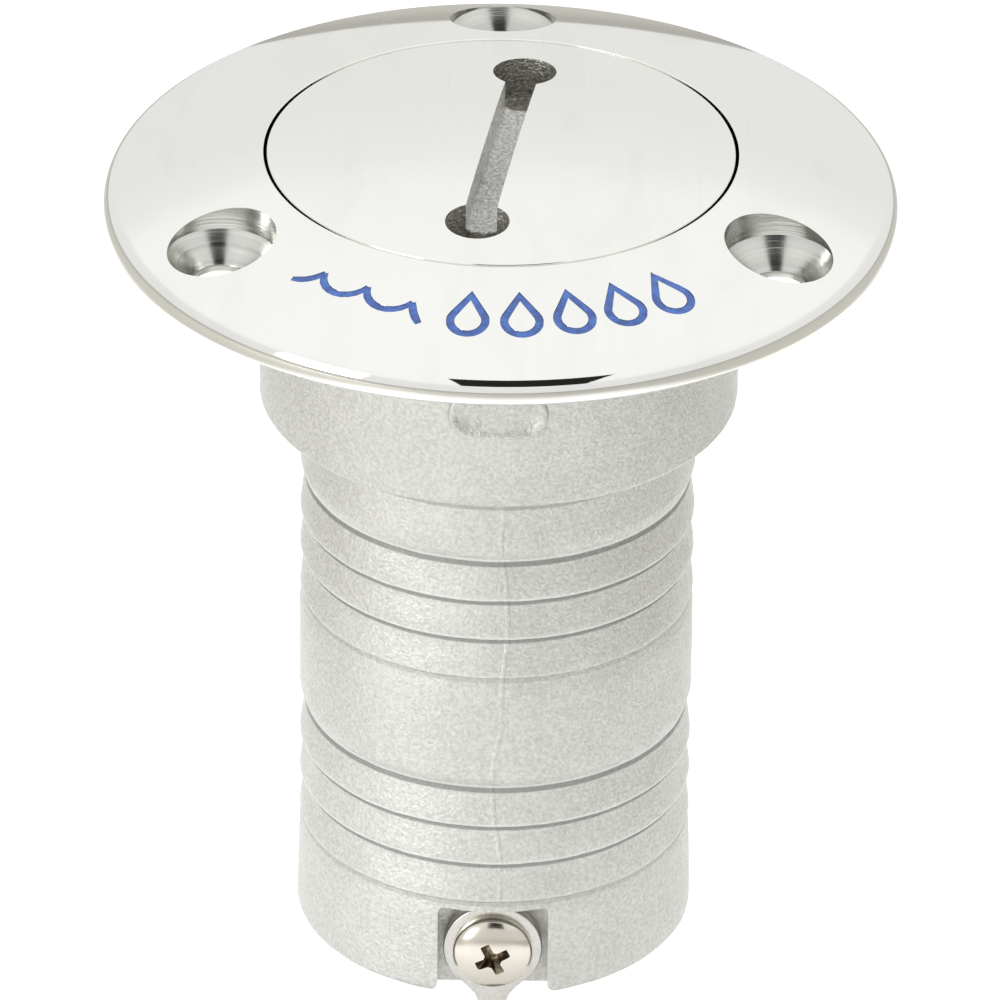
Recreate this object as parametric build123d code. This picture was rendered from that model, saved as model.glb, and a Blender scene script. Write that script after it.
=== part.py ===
from build123d import *
import os
from math import asin, cos, pi, radians, sin, sqrt, tan

# Deck fill cap: a one-piece cast stainless fitting with a hose neck, closed by a screwed cap that a bead
# chain holds. Millimetres. The origin is the centre of the flange's underside, where it lies on the deck,
# +Z points up out of the deck, and the chain lug at the foot of the neck is on the -Y side.

os.makedirs("parts", exist_ok=True)

# ---------------------------------------------------------------- fill body
flange_diameter = 76.0
flange_rim_height = 2.4        # deck to where the polished face would meet the rim
flange_crown_radius = 120.0    # sphere of the polished face
flange_rim_fillet = 1.3
flange_foot_chamfer = 0.35

deck_screw_count = 3
deck_screw_hole = 5.2
deck_screw_mouth = 10.3        # the countersink's wide end, 90 degrees below it
deck_screw_mouth_lip = 0.05    # wall left above the cone on the mouth's low side

collar_wall = 4.65             # outside the thread
collar_length = 19.65
collar_edge_fillet = 0.3
pad_width = 9.6                # plain raised pad on the front of the collar
pad_height = 5.0
pad_drop = 9.6
pad_proud = 0.35

neck_diameter = 38.3
neck_length = 57.25            # below the collar
neck_wall = 3.4
neck_root_fillet = 1.2
neck_foot_flare = 0.25         # the neck widens by this much below the last barb
neck_foot_fillet = 0.7
barb_depth = 0.5               # the step under each edge; the next tooth grows out again
barb_pitch = 4.25
barb_count = 3                 # in each group
barb_tops = (8.45, 33.75)      # upper edge of each group, below the collar
barb_edge_fillet = 0.2
barb_top_run = 1.0              # each group's first edge is a slope this long
barb_top_fillet = 1.0

# ---------------------------------------------------------------- cap seat and thread
cap_gap = 0.3
seat_depth = 5.0
thread_diameter = 36.0
thread_pitch = 2.0
thread_depth = 1.1
thread_turns = 3
thread_clearance = 0.4         # crest to root, and a good part of it on the flanks
thread_crest_width = 0.45
thread_root_width = 1.25
thread_sink = 0.15             # how far a thread ridge reaches into its wall
thread_lead_chamfer = 0.35
thread_drop = 8.7              # from the seat to the lowest turn of the cap's thread
thread_runout = 1.8            # plain wall below the fill body's thread
throat_length = 4.8            # cone from the thread to the neck bore

# ---------------------------------------------------------------- cap
cap_lip = 1.15                 # rim outside the seal's groove
cap_crown_rise = 1.1
cap_edge_fillet = 0.25
cap_seat_clearance = 0.2
cap_pilot_length = 1.4         # plain stretch of the skirt under the head
cap_skirt_length = 9.5         # from the head's underside
cap_skirt_wall = 2.9
cap_floor = 3.0                # metal under the key holes
key_hole_diameter = 6.1
key_hole_inset = 2.9           # from the thread's crest in to a key hole's centre
key_hole_depth = 4.6
key_slot_width = 3.0
key_slot_depth = 2.7
key_slot_turn = -8.3           # degrees the slot stands off the Y axis
cap_boss_diameter = 9.2
cap_boss_height = 3.4

o_ring_land = 1.2              # from the thread's crest to the seal
o_ring_width = 2.0
o_ring_height = 1.7            # squeezed between the cap and its seat

# ---------------------------------------------------------------- chain fittings
screw_diameter = 4.0
screw_hole_clearance = 0.05
screw_head_diameter = 7.8
screw_head_height = 2.2
screw_crown_rise = 0.75
cross_width = 0.95
cross_span = 4.2
cross_depth = 1.5
swivel_shoulder = 0.6          # the swivel screw's shoulder stands this far outside its shank
swivel_play = 0.3
swivel_screw_length = 4.4      # its hole; the thread stops short of the end
screw_tip_gap = 0.2
washer_diameter = 9.4
washer_thickness = 0.6
washer_play = 0.2
ring_diameter = 9.6
ring_thickness = 0.9
ring_play = 0.35               # ring hole over the shoulder it turns on
tail_width = 2.5
tail_flare = 3.4
tail_length = 3.4
clasp_diameter = 4.2
clasp_length = 4.2
clasp_edge = 0.5

notch_width = 10.7
notch_height = 9.1
notch_depth = 3.0              # from the neck's surface on the centre line
notch_draft = 1.2              # the notch's roof climbs this much towards its back
lug_screw_height = 4.6         # screw axis above the foot of the neck
lug_boss_width = 12.4
lug_boss_thickness = 4.0
lug_boss_rise = 1.5            # boss above the notch's roof
lug_screw_length = 5.6
lug_screw_turn = 27.0

chain_diameter = 3.2

# ---------------------------------------------------------------- enamel marks
mark_inset = 1.0               # the marks' circle inside the deck screws' circle
mark_depth = 0.4
enamel_below_face = 0.08
mark_stroke = 0.8
drop_height = 5.8
drop_width = 4.1
drop_angles = (-5.6, 4.0, 13.5, 23.0, 32.6)    # degrees from the front, towards +X
# The wave's line: angle along the flange, then inset towards the cap. Every second station is a crest or an end.
wave_stations = ((-40.9, -0.4), (-38.3, 0.2), (-36.2, 1.7), (-31.4, -0.25), (-26.3, 1.6), (-21.3, -0.65),
                 (-16.5, 0.8), (-15.6, -0.5), (-14.0, -1.8))

# ---------------------------------------------------------------- sizes that follow
thread_radius = thread_diameter / 2
thread_root = thread_radius - thread_depth
female_crest = thread_root + thread_clearance
female_wall = thread_radius + thread_clearance
pilot_radius = female_wall - cap_gap
o_ring_inner = thread_radius + o_ring_land
cap_radius = o_ring_inner + o_ring_width + cap_lip
seat_radius = cap_radius + cap_gap
flange_radius = flange_diameter / 2
crown_centre = flange_rim_height - sqrt(flange_crown_radius**2 - flange_radius**2)
flange_height = crown_centre + sqrt(flange_crown_radius**2 - seat_radius**2)
seat_z = flange_height - seat_depth
head_underside = seat_z + cap_seat_clearance
thread_start = seat_z - thread_drop
thread_foot = thread_start - thread_pitch / 2 - thread_runout
deck_screw_radius = (seat_radius + flange_radius) / 2
mark_radius = deck_screw_radius - mark_inset
collar_radius = female_wall + collar_wall
collar_foot = -collar_length
neck_foot = collar_foot - neck_length
neck_radius = neck_diameter / 2
neck_bore = neck_radius - neck_wall
foot_radius = neck_radius + neck_foot_flare
cap_crown_radius = (cap_radius**2 + cap_crown_rise**2) / (2 * cap_crown_rise)
cap_crown_centre = flange_height + cap_crown_rise - cap_crown_radius
key_hole_radius = key_hole_diameter / 2
key_hole_offset = thread_radius - key_hole_inset
key_hole_top = cap_crown_centre + sqrt(cap_crown_radius**2 - key_hole_offset**2)
key_hole_floor = key_hole_top - key_hole_depth
key_slot_floor = key_hole_top - key_slot_depth
cap_underside = key_hole_floor - cap_floor
skirt_foot = head_underside - cap_skirt_length
skirt_bore = thread_root - cap_skirt_wall
boss_foot = cap_underside - cap_boss_height
screw_radius = screw_diameter / 2
screw_hole = screw_radius + screw_hole_clearance
shoulder_radius = screw_radius + swivel_shoulder
washer_hole = screw_radius + washer_play
notch_back = neck_radius - notch_depth
lug_z = neck_foot + lug_screw_height
margin = 1.0                   # how far a cut or a joined solid runs past the face it meets


def turned(outline):
    """The solid that an outline of (radius, height) makes about Z."""
    return revolve(Plane.XZ * make_face(outline), Axis.Z)


def tube(outer, inner, low, high):
    return Pos(0, 0, low) * extrude(Circle(outer) - Circle(inner), high - low)


def rod(radius, low, high):
    return Pos(0, 0, low) * extrude(Circle(radius), high - low)


def crown_z(radius, below=0.0):
    """Height of the flange's polished face at a radius, or of a sphere parallel to it."""
    return crown_centre + sqrt((flange_crown_radius - below) ** 2 - radius**2)


def crown_arc(near, far, below=0.0):
    middle = (near + far) / 2
    return ThreePointArc(*[(r, crown_z(r, below)) for r in (near, middle, far)])


def round_edges(part, radius, height):
    """The part's circular edges of one radius at one height."""
    circles = part.edges().filter_by(GeomType.CIRCLE)
    return circles.filter_by(lambda e: abs(e.radius - radius) < 0.01 and abs(e.center().Z - height) < 0.05)


def thread_ridge(wall, crest, low):
    """One helical ridge standing on a wall of the given radius, its point at the crest radius."""
    sink = -thread_sink if crest > wall else thread_sink
    base, tip = thread_root_width / 2, thread_crest_width / 2
    corners = [(wall + sink, -base), (crest, -tip), (crest, tip), (wall + sink, base)]
    section = Plane.XZ * make_face(Polyline(*corners, close=True))
    path = Helix(thread_pitch, thread_pitch * thread_turns, wall)
    return Pos(0, 0, low) * sweep(section, path=path, is_frenet=True)


def barbed_neck():
    """The neck's outside: two groups of teeth, each stepping in under an edge and growing out again."""
    top = collar_foot + margin
    outline = [(0, top), (neck_radius, top)]
    edges = [collar_foot - start - tooth * barb_pitch for start in barb_tops for tooth in range(barb_count)]
    for tooth, edge in enumerate(edges):
        run = 0 if tooth % barb_count else barb_top_run
        outline += [(neck_radius, edge + run), (neck_radius - barb_depth, edge)]
        outline += [(neck_radius, edge - barb_pitch)]
    outline += [(foot_radius, neck_foot), (0, neck_foot)]
    points = [outline[0]] + [b for a, b in zip(outline, outline[1:]) if a != b]
    neck = turned(Polyline(*points, close=True))
    for group in range(len(barb_tops)):
        upper, *others = edges[group * barb_count:(group + 1) * barb_count]
        neck = fillet(round_edges(neck, neck_radius, upper + barb_top_run), barb_top_fillet)
        for edge in others:
            neck = fillet(round_edges(neck, neck_radius, edge), barb_edge_fillet)
    return fillet(round_edges(neck, foot_radius, neck_foot), neck_foot_fillet)


def flange():
    sides = Polyline((0, crown_z(0)), (0, 0), (flange_radius, 0), (flange_radius, flange_rim_height))
    disc = turned(sides + crown_arc(flange_radius, 0))
    disc = fillet(round_edges(disc, flange_radius, flange_rim_height), flange_rim_fillet)
    return chamfer(round_edges(disc, flange_radius, 0), flange_foot_chamfer)


def collar():
    barrel = rod(collar_radius, collar_foot, flange_rim_height)
    barrel = fillet(round_edges(barrel, collar_radius, collar_foot), collar_edge_fillet)
    pad = Plane.XZ * extrude(SlotOverall(pad_width, pad_height), collar_radius + margin)
    pad = Pos(0, 0, -pad_drop) * pad & tube(collar_radius + pad_proud, neck_radius, collar_foot, 0)
    return barrel + pad


def water_way():
    """Everything inside the casting from the cap's recess down through the neck."""
    top = crown_z(0) + margin
    outline = [
        (0, top), (seat_radius, top), (seat_radius, seat_z),
        (female_wall + thread_lead_chamfer, seat_z), (female_wall, seat_z - thread_lead_chamfer),
        (female_wall, thread_foot), (neck_bore, thread_foot - throat_length),
        (neck_bore, neck_foot - margin), (0, neck_foot - margin),
    ]
    return turned(Polyline(*outline, close=True))


def countersinks():
    mouth, hole = deck_screw_mouth / 2, deck_screw_hole / 2
    mouth_z = crown_z(deck_screw_radius + mouth) - deck_screw_mouth_lip
    outline = [
        (0, -margin), (hole, -margin), (hole, mouth_z - (mouth - hole)),
        (mouth, mouth_z), (mouth, flange_height + margin), (0, flange_height + margin),
    ]
    sink = turned(Polyline(*outline, close=True))
    return [place * sink for place in PolarLocations(deck_screw_radius, deck_screw_count, start_angle=90)]


def notch():
    """The recess at the foot of the neck that takes the chain's ring, open downwards."""
    roof = neck_foot + notch_height
    front = foot_radius + margin
    side = [
        (-front, neck_foot - margin), (-notch_back, neck_foot - margin), (-notch_back, roof + notch_draft),
        (-neck_radius, roof), (-front, roof - notch_draft * (front - neck_radius) / notch_depth),
    ]
    return Plane.YZ * extrude(make_face(Polyline(*side, close=True)), notch_width / 2, both=True)


def lug_boss():
    """The thickening inside the bore behind the notch, which the lug's screw goes into."""
    back = notch_back - lug_boss_thickness
    top = neck_foot + notch_height + lug_boss_rise
    wall = neck_bore + neck_wall / 2
    side = [(-wall, neck_foot), (-back, neck_foot), (-back, top), (-wall, top + wall - back)]
    block = Plane.YZ * extrude(make_face(Polyline(*side, close=True)), lug_boss_width / 2, both=True)
    return block & rod(wall, neck_foot, collar_foot)


def mark_bed(below_top, below_bottom):
    """The skin of the flange between two depths under its polished face."""
    near, far = seat_radius + margin, flange_radius - flange_rim_fillet
    low, high = crown_arc(near, far, below_bottom), crown_arc(near, far, below_top)
    ends = [Line((r, crown_z(r, below_bottom)), (r, crown_z(r, below_top))) for r in (near, far)]
    return turned(low + high + ends[0] + ends[1])


def drop_outline(grow):
    """A water drop with its point up, grown outwards by a distance."""
    radius = (drop_width - mark_stroke) / 2 + grow
    tip = drop_height - drop_width / 2 - mark_stroke / 2 + 1.6 * grow
    lean = asin(radius / tip)
    touch_x, touch_y = radius * cos(lean), radius * sin(lean)
    sides = Polyline((-touch_x, touch_y), (0, tip), (touch_x, touch_y))
    return make_face(sides + ThreePointArc((touch_x, touch_y), (0, -radius), (-touch_x, touch_y)))


def drops():
    """One closed ring for each drop, its point towards the cap."""
    ring = drop_outline(mark_stroke / 2) - drop_outline(-mark_stroke / 2)
    ring = Pos(0, -mark_radius - (drop_height - drop_width) / 2) * ring
    return [Rot(0, 0, angle) * ring for angle in drop_angles]


def wave():
    """A plain wave that follows the flange: troughs between crests that point at the cap."""
    points = [((mark_radius - h) * sin(radians(a)), -(mark_radius - h) * cos(radians(a))) for a, h in wave_stations]
    line = [trace(ThreePointArc(*points[k:k + 3]), mark_stroke) for k in range(0, len(points) - 2, 2)]
    return [line[0] + line[1:]]


def marks(faces, below_top, below_bottom):
    """Flat mark shapes carried into the flange's skin between two depths."""
    bed = mark_bed(below_top, below_bottom)
    return [extrude(face, flange_height + margin) & bed for face in faces]


def fill_body():
    casting = flange() + collar() + barbed_neck()
    shoulder = collar_radius - neck_radius
    casting = fillet(round_edges(casting, neck_radius, collar_foot), min(neck_root_fillet, shoulder / 3))
    casting = casting - water_way() - countersinks() + lug_boss() - notch()
    casting -= marks(drops() + wave(), -margin, mark_depth)
    casting -= Pos(0, 0, lug_z) * Rot(90, 0, 0) * rod(screw_hole, 0, foot_radius)
    # The two threads share one helix, half a pitch apart.
    return casting + thread_ridge(female_wall, female_crest, thread_start - thread_pitch / 2)


def cap():
    head = rod(cap_radius, head_underside, flange_height + cap_crown_rise + margin)
    head &= Pos(0, 0, cap_crown_centre) * Sphere(cap_crown_radius)
    head = fillet(round_edges(head, cap_radius, flange_height), cap_edge_fillet)
    body = head + rod(pilot_radius, head_underside - cap_pilot_length, head_underside + margin)
    body += rod(thread_root, cap_underside, head_underside)
    body += tube(thread_root, skirt_bore, skirt_foot, cap_underside + margin)
    body += rod(cap_boss_diameter / 2, boss_foot, cap_underside + margin)
    body -= tube(o_ring_inner + o_ring_width, o_ring_inner, seat_z - margin, seat_z + o_ring_height)
    body -= rod(screw_hole, boss_foot - margin, boss_foot + swivel_screw_length)
    hole = rod(key_hole_radius, key_hole_floor, key_hole_top + margin)
    slot = extrude(Rectangle(key_slot_width, 2 * key_hole_offset), key_slot_depth + margin)
    slot = Pos(0, 0, key_slot_floor) * slot
    keyway = [Pos(0, key_hole_offset, 0) * hole, Pos(0, -key_hole_offset, 0) * hole, slot]
    body -= [Rot(0, 0, key_slot_turn) * part for part in keyway]
    return body + thread_ridge(thread_root, thread_radius, thread_start)


def o_ring():
    ring = tube(o_ring_inner + o_ring_width, o_ring_inner, seat_z, seat_z + o_ring_height)
    return fillet(ring.edges().filter_by(GeomType.CIRCLE), o_ring_height / 3)


def cross_recess():
    """A Phillips recess that opens at z = 0 and tapers downwards."""
    top = [Rot(0, 0, a) * Rectangle(cross_span, cross_width) for a in (0, 90)]
    foot = [Rot(0, 0, a) * Rectangle(cross_span / 3, cross_width * 0.7) for a in (0, 90)]
    return [loft([Pos(0, 0, 0.5) * t, Pos(0, 0, -cross_depth) * f]) for t, f in zip(top, foot)]


def pan_screw(shank_length, shoulder=0.0):
    """A pan head screw with its head's underside at z = 0 and the head upwards."""
    rise = screw_head_height - screw_crown_rise
    radius = screw_head_diameter / 2
    side = Polyline((0, screw_head_height), (0, 0), (radius, 0), (radius, rise))
    bulge = ThreePointArc((radius, rise), (radius * 0.62, screw_head_height - 0.3), (0, screw_head_height))
    screw = turned(side + bulge) + rod(screw_radius, -shoulder - shank_length, 0)
    if shoulder:
        screw += rod(shoulder_radius, -shoulder, 0)
    return screw - [Pos(0, 0, screw_head_height - 0.2) * part for part in cross_recess()]


def washer(bore):
    return extrude(Circle(washer_diameter / 2) - Circle(bore), washer_thickness)


def ring_blank(bore):
    """The flat ring with its flared tail along -Y, its lower face at z = 0."""
    outer = ring_diameter / 2
    flare = [
        (-tail_flare, -outer * 0.6), (-tail_width / 2, -outer - 0.9), (-tail_width / 2, -outer - tail_length),
        (tail_width / 2, -outer - tail_length), (tail_width / 2, -outer - 0.9), (tail_flare, -outer * 0.6),
    ]
    blank = Circle(outer) + make_face(Polyline(*flare, close=True)) - Circle(bore)
    return extrude(blank, ring_thickness)


def clasp():
    """The little barrel that grips the chain's last bead, its mouth at z = 0 and its body upwards."""
    barrel = extrude(Circle(clasp_diameter / 2), clasp_length)
    return fillet(barrel.edges().filter_by(GeomType.CIRCLE).sort_by(Axis.Z)[-1], clasp_edge)


# ---------------------------------------------------------------- the pieces in place
swivel_gap = ring_thickness + washer_thickness + 2 * swivel_play
swivel_screw = Rot(180, 0, 0) * pan_screw(swivel_screw_length - screw_tip_gap, swivel_gap)
swivel_screw = Pos(0, 0, boss_foot - swivel_gap) * swivel_screw
swivel_washer = Pos(0, 0, boss_foot - swivel_gap) * washer(shoulder_radius + screw_hole_clearance)
swivel_ring_z = boss_foot - swivel_play - ring_thickness
swivel_ring = ring_blank(shoulder_radius + ring_play)
swivel_clasp_y = ring_diameter / 2 + tail_length - tail_width / 4
clasp_top = swivel_ring_z + ring_thickness
swivel_ring = Pos(0, 0, swivel_ring_z) * Rot(0, 0, 180) * swivel_ring
swivel_eyelet = swivel_ring + Pos(0, swivel_clasp_y, clasp_top - clasp_length) * clasp()

lug_washer_y = -notch_back - washer_thickness
lug_ring_y = lug_washer_y - ring_thickness
to_lug = Pos(0, 0, lug_z) * Rot(90, 0, 0)
lug_washer = to_lug * Pos(0, 0, notch_back) * washer(washer_hole)
lug_ring = to_lug * Pos(0, 0, -lug_washer_y) * ring_blank(washer_hole)
lug_clasp_y = lug_ring_y + ring_thickness / 2
lug_clasp_z = lug_z - ring_diameter / 2 - tail_length - clasp_length + clasp_edge
lug_eyelet = lug_ring + Pos(0, lug_clasp_y, lug_clasp_z) * clasp()
lug_screw = to_lug * Pos(0, 0, -lug_ring_y) * Rot(0, 0, lug_screw_turn) * pan_screw(lug_screw_length)

# The chain hangs from the cap's clasp down the bore, turns under the foot of the neck and rises to the lug.
chain_points = [
    (0.0, swivel_clasp_y, clasp_top - clasp_length),
    (0.0, swivel_clasp_y, -20.5),
    (0.5, 7.0, -38.5),
    (0.3, 6.6, neck_foot + 15.3),
    (0.0, 7.4, neck_foot - 4.7),
    (0.0, 6.6, neck_foot - 15.0),
    (0.0, 2.1, neck_foot - 21.4),
    (0.0, -5.2, neck_foot - 23.7),
    (0.0, -12.7, neck_foot - 21.0),
    (0.0, lug_clasp_y, neck_foot - 14.6),
    (0.0, lug_clasp_y, lug_clasp_z),
]


def chain_tube():
    """The chain's outer shape: straight runs joined by arcs as large as the runs allow."""
    points = [Vector(*p) for p in chain_points]
    runs = [b - a for a, b in zip(points, points[1:])]
    radii = []
    for before, after in zip(runs, runs[1:]):
        half_turn = radians(before.get_angle(after)) / 2
        radii.append(0.45 * min(before.length, after.length) / tan(half_turn))
    print("chain arcs", [round(r, 1) for r in radii], "runs", [round(r.length, 1) for r in runs])
    line = FilletPolyline(*chain_points, radius=radii)
    solid = sweep(Plane(line @ 0, z_dir=line % 0) * Circle(chain_diameter / 2), path=line)
    expected = pi * chain_diameter**2 / 4 * line.length
    print(f"chain length {line.length:.1f}, volume {solid.volume:.1f} of {expected:.1f}")
    return solid


nodes = {
    "fill_body": fill_body(),
    "cap": cap(),
    "cap_o_ring": o_ring(),
    "cap_chain_screw": swivel_screw,
    "cap_chain_washer": swivel_washer,
    "cap_chain_eyelet": swivel_eyelet,
    "retaining_chain": chain_tube(),
    "lug_chain_eyelet": lug_eyelet,
    "lug_washer": lug_washer,
    "lug_screw": lug_screw,
    "drop_enamel": Compound(marks(drops(), enamel_below_face, mark_depth)),
    "wave_enamel": Compound(marks(wave(), enamel_below_face, mark_depth)),
}
for name, shape in nodes.items():
    export_step(shape, f"parts/{name}.step")
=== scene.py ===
"""A deck fill for a boat's water tank: a polished flange on a blasted hose neck, a screwed cap, a bead chain."""

from math import asin, atan2, cos, hypot, pi, radians, sin, sqrt

import bmesh
import bpy
from mathutils import Matrix, Vector, noise


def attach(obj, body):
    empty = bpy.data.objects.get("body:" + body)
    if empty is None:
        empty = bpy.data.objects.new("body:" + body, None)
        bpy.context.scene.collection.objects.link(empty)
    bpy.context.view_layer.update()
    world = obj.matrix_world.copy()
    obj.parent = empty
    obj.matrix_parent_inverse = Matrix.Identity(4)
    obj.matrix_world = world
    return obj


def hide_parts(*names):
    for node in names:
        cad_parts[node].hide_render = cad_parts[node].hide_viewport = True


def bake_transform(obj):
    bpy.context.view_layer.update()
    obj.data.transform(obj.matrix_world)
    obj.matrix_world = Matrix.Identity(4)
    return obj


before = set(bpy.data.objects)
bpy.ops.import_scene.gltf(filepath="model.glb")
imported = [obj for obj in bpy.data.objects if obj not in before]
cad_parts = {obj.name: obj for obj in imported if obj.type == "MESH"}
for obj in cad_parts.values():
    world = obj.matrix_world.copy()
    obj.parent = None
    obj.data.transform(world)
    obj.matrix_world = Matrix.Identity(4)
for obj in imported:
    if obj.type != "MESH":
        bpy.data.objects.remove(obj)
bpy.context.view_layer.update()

# Sizes in millimetres, as the maker's drawing has them.
CROWN_R, CROWN_CENTRE = 120.0, -111.4244
CAP_CROWN_R, CAP_CROWN_CENTRE = 227.606, -220.0871
FLANGE_R, RIM_HEIGHT = 38.0, 2.4
RECESS_R, SEAT_Z, FLANGE_TOP = 22.65, 1.4186, 6.4186
CAP_R, HEAD_UNDERSIDE = 22.35, 1.6186
COLLAR_R, COLLAR_FOOT = 23.05, -19.65
COLLAR_TOP = -0.6  # the cast skin starts here, under the machined deck face
NECK_R, FOOT_R, NECK_FOOT, BORE_R = 19.15, 19.4, -76.9, 15.75
BARB_PITCH, BARB_DEPTH, BARB_TOPS = 4.25, 0.5, (8.45, 33.75)
THREAD_CREST, THREAD_ROOT = 18.0, 16.9
THREAD_START, PITCH, TURNS = -7.2814, 2.0, 3
FEMALE_WALL, FEMALE_CREST = 18.4, 17.3
SKIRT_R, SKIRT_FOOT, SKIRT_ROOF = 14.0, -7.8814, -0.5828  # the hollow under the cap
GROOVE_IN, GROOVE_OUT, GROOVE_ROOF = 19.2, 21.2, 3.1186
HEAD_R, HEAD_SIDE, HEAD_DOME = 3.9, 0.55, 1.65  # the pan head's radius, straight side and dome
WASHER_R, WASHER_THICK, EYELET_R, EYELET_THICK = 4.7, 0.6, 4.8, 0.9
SCREW_CIRCLE, MARK_CIRCLE = 30.325, 29.325
KEY_OFFSET, KEY_R, KEY_FLOOR, SLOT_FLOOR, KEY_TURN = 15.1, 3.05, 2.4172, 4.3172, radians(-8.3)
NOTCH_BACK, NOTCH_ROOF, NOTCH_HALF = -16.15, -67.8, 5.35
LUG_Z, LUG_RING_Y, LUG_WASHER_Y = -72.3, -17.65, -16.75
BOSS_FOOT, SWIVEL_GAP, SWIVEL_RING_Z = -3.9828, 2.1, -5.1828
SWIVEL_CLASP = Vector((0, 7.575, -8.4828))
LUG_CLASP = Vector((0, -17.2, -84.2))


def crown(radius, below=0.0):
    return CROWN_CENTRE + sqrt((CROWN_R - below) ** 2 - radius**2)


def cap_crown(radius):
    return CAP_CROWN_CENTRE + sqrt(CAP_CROWN_R**2 - radius**2)


# ------------------------------------------------------------------ camera
scene = bpy.context.scene
scene.view_settings.view_transform = "Standard"
camera = bpy.data.objects.new("camera", bpy.data.cameras.new("camera"))
scene.collection.objects.link(camera)
camera.data.sensor_width = 36
camera.data.lens = 432
camera.data.clip_start, camera.data.clip_end = 0.05, 30
tilt = Matrix.Rotation(radians(90 - 30.24), 4, "X") @ Matrix.Rotation(radians(0.63), 4, "Z")
camera.matrix_world = Matrix.Translation((0.000245, -1.003874, 0.553137)) @ tilt
scene.camera = camera


# ------------------------------------------------------------------ shaping helpers
def round_corner(bm, vert, size, segments):
    bmesh.ops.bevel(bm, geom=[vert], offset=size, offset_type="OFFSET", segments=segments, profile=0.5,
                    affect="VERTICES", material=-1)


def round_edges(bm, edges, size, segments):
    bmesh.ops.bevel(bm, geom=edges, offset=size, offset_type="OFFSET", segments=segments, profile=0.5,
                    affect="EDGES", material=-1)


def thickened(bm, way):
    """Extrudes a flat shape and returns the points of its far side."""
    made = bmesh.ops.extrude_face_region(bm, geom=bm.faces[:])
    far = [v for v in made["geom"] if isinstance(v, bmesh.types.BMVert)]
    bmesh.ops.translate(bm, verts=far, vec=way)
    return far


def block(size, centre):
    bm = bmesh.new()
    bmesh.ops.create_cube(bm, size=1)
    bmesh.ops.scale(bm, vec=size, verts=bm.verts)
    bmesh.ops.translate(bm, verts=bm.verts, vec=centre)
    return bm


def turn(corners, steps=192, low=None):
    """Turns an outline about Z. A corner is (radius, height) or (radius, height, rounding); it closes unless it
    starts and ends on the axis."""
    bm = bmesh.new()
    verts = [bm.verts.new((c[0], 0, c[1])) for c in corners]
    pairs = list(zip(verts, verts[1:]))
    if corners[0][0] or corners[-1][0]:
        pairs.append((verts[-1], verts[0]))
    for pair in pairs:
        bm.edges.new(pair)
    for vert, corner in zip(verts, corners):
        if len(corner) > 2:
            round_corner(bm, vert, corner[2], 5 if corner[2] > 0.3 else 3)
    if low:
        long = [e for e in bm.edges if e.calc_length() > 2.4 and max(v.co.z for v in e.verts) < low]
        bmesh.ops.subdivide_edges(bm, edges=long, cuts=3, use_grid_fill=False)
    bmesh.ops.spin(bm, geom=bm.verts[:] + bm.edges[:], cent=(0, 0, 0), axis=(0, 0, 1), angle=2 * pi, steps=steps,
                   use_merge=True)
    bmesh.ops.remove_doubles(bm, verts=bm.verts, dist=1e-4)
    bmesh.ops.recalc_face_normals(bm, faces=bm.faces)
    return bm


def placed(bm, *steps):
    """Moves a shape by matrices, the first one last."""
    matrix = Matrix.Identity(4)
    for step in steps:
        matrix = matrix @ step
    bmesh.ops.transform(bm, matrix=matrix, verts=bm.verts)
    return bm


def shift(x, y, z):
    return Matrix.Translation((x, y, z))


def swing(degrees, axis):
    return Matrix.Rotation(radians(degrees), 4, axis)


def joined(*shapes):
    """Several closed shapes as one."""
    whole = bmesh.new()
    for shape in shapes:
        mesh = bpy.data.meshes.new("part")
        shape.to_mesh(mesh)
        shape.free()
        whole.from_mesh(mesh)
        bpy.data.meshes.remove(mesh)
    return whole


def held(bm, name):
    """A shape as an object, still in millimetres, for the cutting steps."""
    mesh = bpy.data.meshes.new(name)
    bm.to_mesh(mesh)
    bm.free()
    piece = bpy.data.objects.new(name, mesh)
    scene.collection.objects.link(piece)
    return piece


def machined(piece, tools, operation="DIFFERENCE"):
    """Takes each tool's shape away from the piece, or adds it."""
    tools = [held(tool, "tool") for tool in tools]
    for tool in tools:
        step = piece.modifiers.new("step", "BOOLEAN")
        step.object, step.operation, step.solver = tool, operation, "EXACT"
    bpy.context.view_layer.update()
    shaped = bpy.data.meshes.new_from_object(piece.evaluated_get(bpy.context.evaluated_depsgraph_get()))
    piece.modifiers.clear()
    piece.data = shaped
    for tool in tools:
        bpy.data.objects.remove(tool)
    return piece


def finished(piece, body, finish, slot_name, *nodes, crease=38, zones=None, balls=()):
    """Scales a piece to metres, smooths it, gives it its finishes and hangs it on its body.

    zones is (finishes, chooser): the chooser names each face's finish. balls are (centre height, radius) of
    polished spherical faces, whose shading follows the true sphere."""
    mesh = piece.data
    finishes, chooser = zones or ([finish], None)
    mesh.materials.clear()
    for each in finishes:
        mesh.materials.append(each)
    if chooser:
        chosen = [finishes.index(chooser(f.center, f.normal)) for f in mesh.polygons]
        mesh.polygons.foreach_set("material_index", chosen)
    mesh.shade_smooth()
    mesh.set_sharp_from_angle(angle=radians(crease))
    if balls:
        normals = [Vector(n.vector) for n in mesh.corner_normals]
        for face in mesh.polygons:
            for height, radius in balls:
                centre = Vector((0, 0, height))
                outward = (face.center - centre).normalized()
                if face.normal.z > 0.9 and face.normal.dot(outward) > 0.9995:
                    corners = [mesh.vertices[v].co - centre for v in face.vertices]
                    if all(abs(c.length - radius) < 0.004 for c in corners):
                        for loop, corner in zip(face.loop_indices, corners):
                            normals[loop] = corner.normalized()
        mesh.normals_split_custom_set(normals)
    mesh.transform(Matrix.Scale(0.001, 4))
    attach(piece, body)
    if nodes:
        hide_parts(*nodes)
    return piece


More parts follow.
